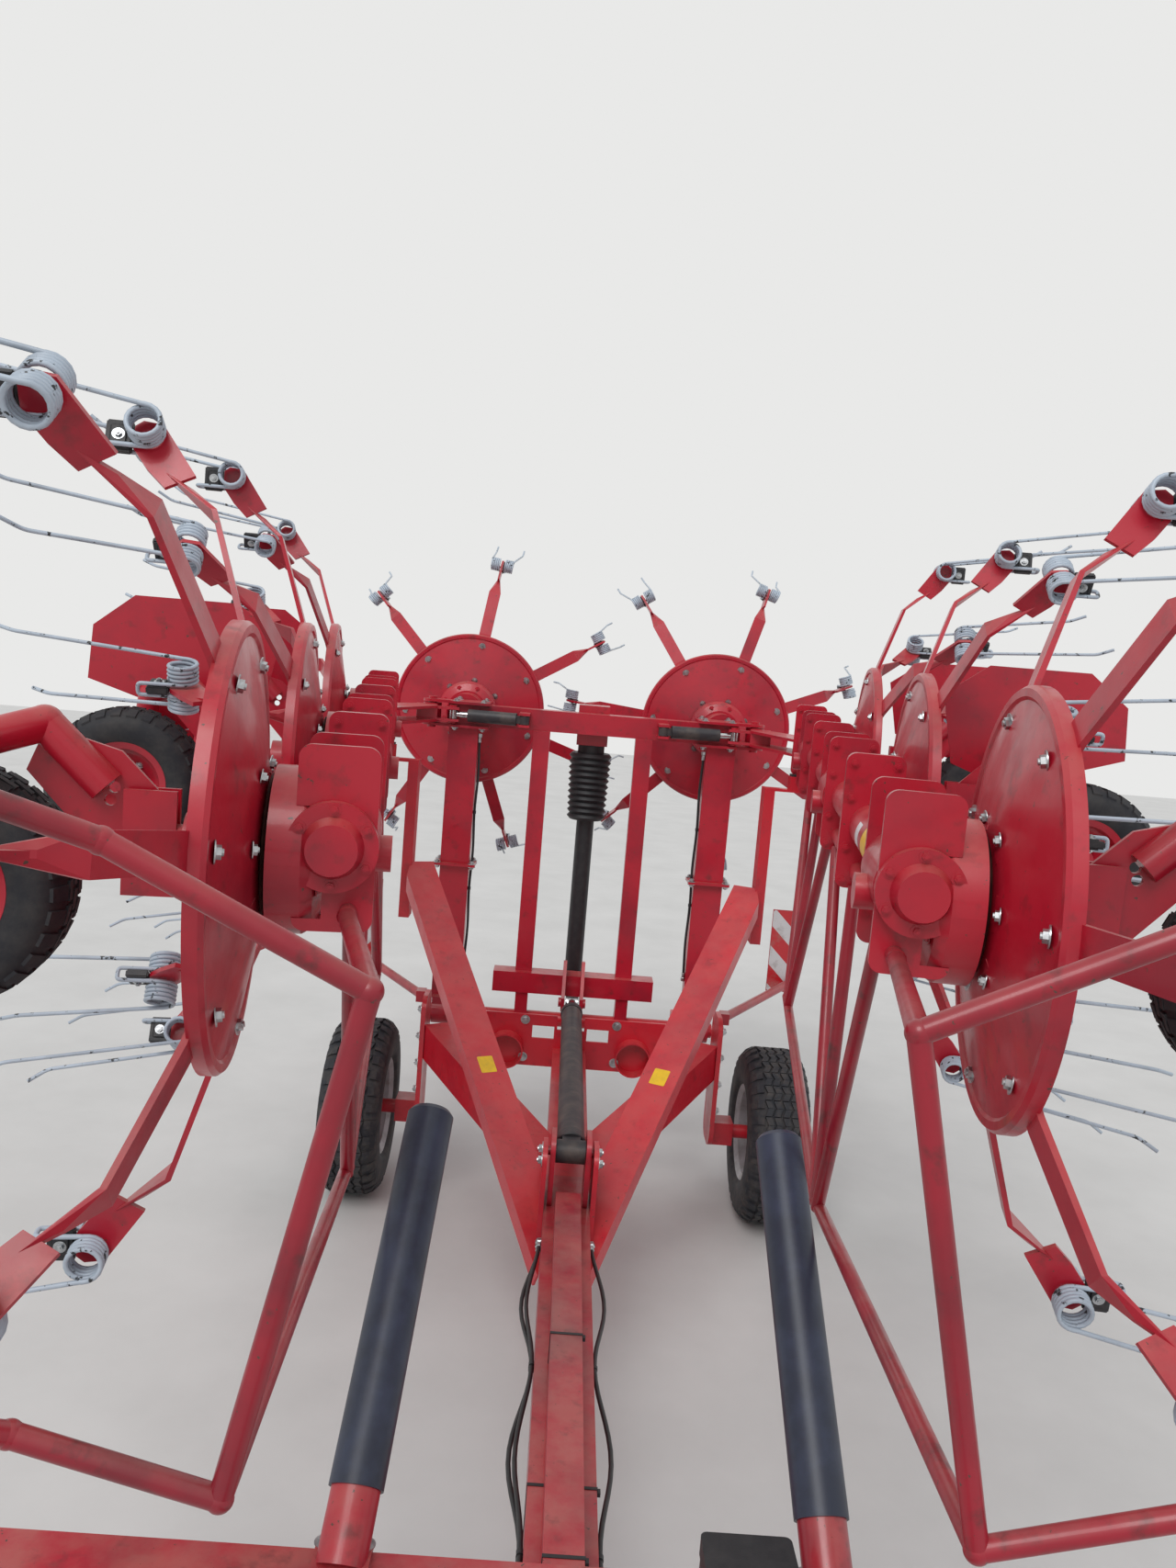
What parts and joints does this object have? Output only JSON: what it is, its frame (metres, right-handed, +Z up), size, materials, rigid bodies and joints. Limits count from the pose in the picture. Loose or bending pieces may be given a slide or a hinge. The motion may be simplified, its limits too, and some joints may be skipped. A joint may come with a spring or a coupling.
{
  "type": "folded trailed hay tedder",
  "caption": "Trailed hay tedder folded for the road: tined rotors on a raised beam with two wings folded forward along the drawbar, gauge wheels and a two-wheel chassis.",
  "frame": {"origin": "centre of the hitch eye's bore at the front of the drawbar", "axes": "+Z up, +X to the right seen from the front with the eye looking rearwards, +Y rearwards along the drawbar"},
  "size_m": [3.5764, 7.1677, 3.02],
  "materials": {
    "red_paint": "glossy, faded and chipped",
    "tine_steel": "grey paint worn to bare spring steel",
    "tyre_rubber": "dull rubber",
    "black_plastic": "satin black",
    "black_paint": "gloss black",
    "chrome_rod": "polished",
    "grey_paint": "grey paint",
    "zinc_steel": "zinc plated",
    "board_sheet": "white sheet with red stripes"
  },
  "bodies": {
    "chassis": {"drawbar": "red_paint", "chassis_frame": "red_paint", "wing_rests": "red_paint", "front_crossbar": "red_paint", "front_posts": "black_plastic", "warning_boards": "board_sheet", "control_box": "black_plastic", "chassis_hoses": "black_plastic", "jack_sleeve": "red_paint"},
    "jack": {"jack_leg": "zinc_steel"},
    "transport_wheel_left": {"wheel_left": "tyre_rubber"},
    "transport_wheel_right": {"wheel_right": "tyre_rubber"},
    "lift_barrel": {"lift_barrel": "black_paint"},
    "lift_rod": {"lift_rod": "chrome_rod"},
    "tilt": {"tilt_frame": "red_paint", "centre_beam": "red_paint", "centre_gearboxes": "red_paint", "drive_guard": "black_plastic", "centre_wheel_arms": "red_paint"},
    "fold_barrel_left": {"fold_barrel_left": "grey_paint"},
    "fold_rod_left": {"fold_rod_left": "chrome_rod"},
    "wing_left": {"wing_frame_left": "red_paint", "wing_gearboxes_left": "red_paint", "wing_wheel_arms_left": "red_paint", "wing_guard_left": "red_paint", "wheel_shields_left": "red_paint"},
    "fold_barrel_right": {"fold_barrel_right": "grey_paint"},
    "fold_rod_right": {"fold_rod_right": "chrome_rod"},
    "wing_right": {"wing_frame_right": "red_paint", "wing_gearboxes_right": "red_paint", "wing_wheel_arms_right": "red_paint", "wing_guard_right": "red_paint", "wheel_shields_right": "red_paint"},
    "rotor_left_1": {"rotor_left_1": "red_paint", "tines_left_1": "tine_steel"},
    "gauge_left_1": {"gauge_left_1": "tyre_rubber"},
    "rotor_left_2": {"rotor_left_2": "red_paint", "tines_left_2": "tine_steel"},
    "gauge_left_2": {"gauge_left_2": "tyre_rubber"},
    "rotor_left_3": {"rotor_left_3": "red_paint", "tines_left_3": "tine_steel"},
    "gauge_left_3": {"gauge_left_3": "tyre_rubber"},
    "rotor_left_4": {"rotor_left_4": "red_paint", "tines_left_4": "tine_steel"},
    "gauge_left_4": {"gauge_left_4": "tyre_rubber"},
    "rotor_right_1": {"rotor_right_1": "red_paint", "tines_right_1": "tine_steel"},
    "gauge_right_1": {"gauge_right_1": "tyre_rubber"},
    "rotor_right_2": {"rotor_right_2": "red_paint", "tines_right_2": "tine_steel"},
    "gauge_right_2": {"gauge_right_2": "tyre_rubber"},
    "rotor_right_3": {"rotor_right_3": "red_paint", "tines_right_3": "tine_steel"},
    "gauge_right_3": {"gauge_right_3": "tyre_rubber"},
    "rotor_right_4": {"rotor_right_4": "red_paint", "tines_right_4": "tine_steel"},
    "gauge_right_4": {"gauge_right_4": "tyre_rubber"}
  },
  "joints": [
    {"name": "tilt", "type": "hinge", "parent": "chassis", "child": "tilt", "pos_m": [0, 6.01, 0.085], "axis": [1, 0, 0], "range_deg": [-73.4, 0]},
    {"name": "jack_slide", "type": "slide", "parent": "chassis", "child": "jack", "axis": [0, 0, 1], "range_m": [0, 0.235]},
    {"name": "transport_wheel_left_spin", "type": "hinge", "parent": "chassis", "child": "transport_wheel_left", "pos_m": [-0.915, 5.45, -0.195], "axis": [1, 0, 0], "continuous": true},
    {"name": "transport_wheel_right_spin", "type": "hinge", "parent": "chassis", "child": "transport_wheel_right", "pos_m": [0.915, 5.45, -0.195], "axis": [1, 0, 0], "continuous": true},
    {"name": "lift_barrel_swing", "type": "hinge", "parent": "chassis", "child": "lift_barrel", "pos_m": [0, 4.07, 0.24], "axis": [1, 0, 0], "range_deg": [0, 1.85]},
    {"name": "lift_rod_slide", "type": "slide", "parent": "lift_barrel", "child": "lift_rod", "axis": [0, 0.9999, -0.0103], "range_m": [0, 0.25127]},
    {"name": "wing_left_fold", "type": "hinge", "parent": "tilt", "child": "wing_left", "pos_m": [-0.78, 6.03187, 1.55069], "axis": [0, 0.0192, -0.9998], "range_deg": [0, 98]},
    {"name": "fold_barrel_left_swing", "type": "hinge", "parent": "tilt", "child": "fold_barrel_left", "pos_m": [-0.33, 5.91189, 1.54839], "axis": [0, 0.0192, -0.9998], "range_deg": [-3.89, 0]},
    {"name": "fold_rod_left_slide", "type": "slide", "parent": "fold_barrel_left", "child": "fold_rod_left", "axis": [-0.9935, 0.1135, 0.0022], "range_m": [0, 0.20064]},
    {"name": "wing_right_fold", "type": "hinge", "parent": "tilt", "child": "wing_right", "pos_m": [0.78, 6.03187, 1.55069], "axis": [0, -0.0192, 0.9998], "range_deg": [0, 98]},
    {"name": "fold_barrel_right_swing", "type": "hinge", "parent": "tilt", "child": "fold_barrel_right", "pos_m": [0.33, 5.91189, 1.54839], "axis": [0, -0.0192, 0.9998], "range_deg": [-3.89, 0]},
    {"name": "fold_rod_right_slide", "type": "slide", "parent": "fold_barrel_right", "child": "fold_rod_right", "axis": [0.9935, 0.1135, 0.0022], "range_m": [0, 0.20064]},
    {"name": "rotor_left_1_spin", "type": "hinge", "parent": "tilt", "child": "rotor_left_1", "pos_m": [-0.6375, 6.44679, 1.55866], "axis": [0, 0.9998, 0.0192], "continuous": true},
    {"name": "gauge_left_1_spin", "type": "hinge", "parent": "tilt", "child": "gauge_left_1", "pos_m": [-0.6375, 6.89834, 1.48231], "axis": [-1, 0, 0], "continuous": true},
    {"name": "rotor_left_2_spin", "type": "hinge", "parent": "wing_left", "child": "rotor_left_2", "pos_m": [-1.03335, 4.85285, 1.52805], "axis": [-0.9903, -0.1391, -0.0027], "continuous": true},
    {"name": "gauge_left_2_spin", "type": "hinge", "parent": "wing_left", "child": "gauge_left_2", "pos_m": [-1.47897, 4.79186, 1.44186], "axis": [0.1392, -0.9901, -0.019], "continuous": true},
    {"name": "rotor_left_3_spin", "type": "hinge", "parent": "wing_left", "child": "rotor_left_3", "pos_m": [-0.8559, 3.59049, 1.50381], "axis": [-0.9903, -0.1391, -0.0027], "continuous": true},
    {"name": "gauge_left_3_spin", "type": "hinge", "parent": "wing_left", "child": "gauge_left_3", "pos_m": [-1.30152, 3.5295, 1.41763], "axis": [0.1392, -0.9901, -0.019], "continuous": true},
    {"name": "rotor_left_4_spin", "type": "hinge", "parent": "wing_left", "child": "rotor_left_4", "pos_m": [-0.67846, 2.32813, 1.47958], "axis": [-0.9903, -0.1391, -0.0027], "continuous": true},
    {"name": "gauge_left_4_spin", "type": "hinge", "parent": "wing_left", "child": "gauge_left_4", "pos_m": [-1.12408, 2.26715, 1.39339], "axis": [0.1392, -0.9901, -0.019], "continuous": true},
    {"name": "rotor_right_1_spin", "type": "hinge", "parent": "tilt", "child": "rotor_right_1", "pos_m": [0.6375, 6.44679, 1.55866], "axis": [0, 0.9998, 0.0192], "continuous": true},
    {"name": "gauge_right_1_spin", "type": "hinge", "parent": "tilt", "child": "gauge_right_1", "pos_m": [0.6375, 6.89834, 1.48231], "axis": [1, 0, 0], "continuous": true},
    {"name": "rotor_right_2_spin", "type": "hinge", "parent": "wing_right", "child": "rotor_right_2", "pos_m": [1.03335, 4.85285, 1.52805], "axis": [0.9903, -0.1391, -0.0027], "continuous": true},
    {"name": "gauge_right_2_spin", "type": "hinge", "parent": "wing_right", "child": "gauge_right_2", "pos_m": [1.47897, 4.79186, 1.44186], "axis": [-0.1392, -0.9901, -0.019], "continuous": true},
    {"name": "rotor_right_3_spin", "type": "hinge", "parent": "wing_right", "child": "rotor_right_3", "pos_m": [0.8559, 3.59049, 1.50381], "axis": [0.9903, -0.1391, -0.0027], "continuous": true},
    {"name": "gauge_right_3_spin", "type": "hinge", "parent": "wing_right", "child": "gauge_right_3", "pos_m": [1.30152, 3.5295, 1.41763], "axis": [-0.1392, -0.9901, -0.019], "continuous": true},
    {"name": "rotor_right_4_spin", "type": "hinge", "parent": "wing_right", "child": "rotor_right_4", "pos_m": [0.67846, 2.32813, 1.47958], "axis": [0.9903, -0.1391, -0.0027], "continuous": true},
    {"name": "gauge_right_4_spin", "type": "hinge", "parent": "wing_right", "child": "gauge_right_4", "pos_m": [1.12408, 2.26715, 1.39339], "axis": [-0.1392, -0.9901, -0.019], "continuous": true}
  ],
  "couplings": [
    {"joint": "lift_barrel_swing", "follows": "tilt", "ratio": -0.025277},
    {"joint": "lift_rod_slide", "follows": "tilt", "m_per_rad": -0.19614},
    {"joint": "fold_barrel_left_swing", "follows": "wing_left_fold", "ratio": -0.039695},
    {"joint": "fold_rod_left_slide", "follows": "wing_left_fold", "m_per_rad": 0.11731},
    {"joint": "fold_barrel_right_swing", "follows": "wing_right_fold", "ratio": -0.039695},
    {"joint": "fold_rod_right_slide", "follows": "wing_right_fold", "m_per_rad": 0.11731},
    {"joint": "rotor_left_2_spin", "follows": "rotor_left_1_spin", "ratio": -1},
    {"joint": "rotor_left_3_spin", "follows": "rotor_left_1_spin", "ratio": 1},
    {"joint": "rotor_left_4_spin", "follows": "rotor_left_1_spin", "ratio": -1},
    {"joint": "rotor_right_1_spin", "follows": "rotor_left_1_spin", "ratio": -1},
    {"joint": "rotor_right_2_spin", "follows": "rotor_left_1_spin", "ratio": 1},
    {"joint": "rotor_right_3_spin", "follows": "rotor_left_1_spin", "ratio": -1},
    {"joint": "rotor_right_4_spin", "follows": "rotor_left_1_spin", "ratio": 1}
  ]
}
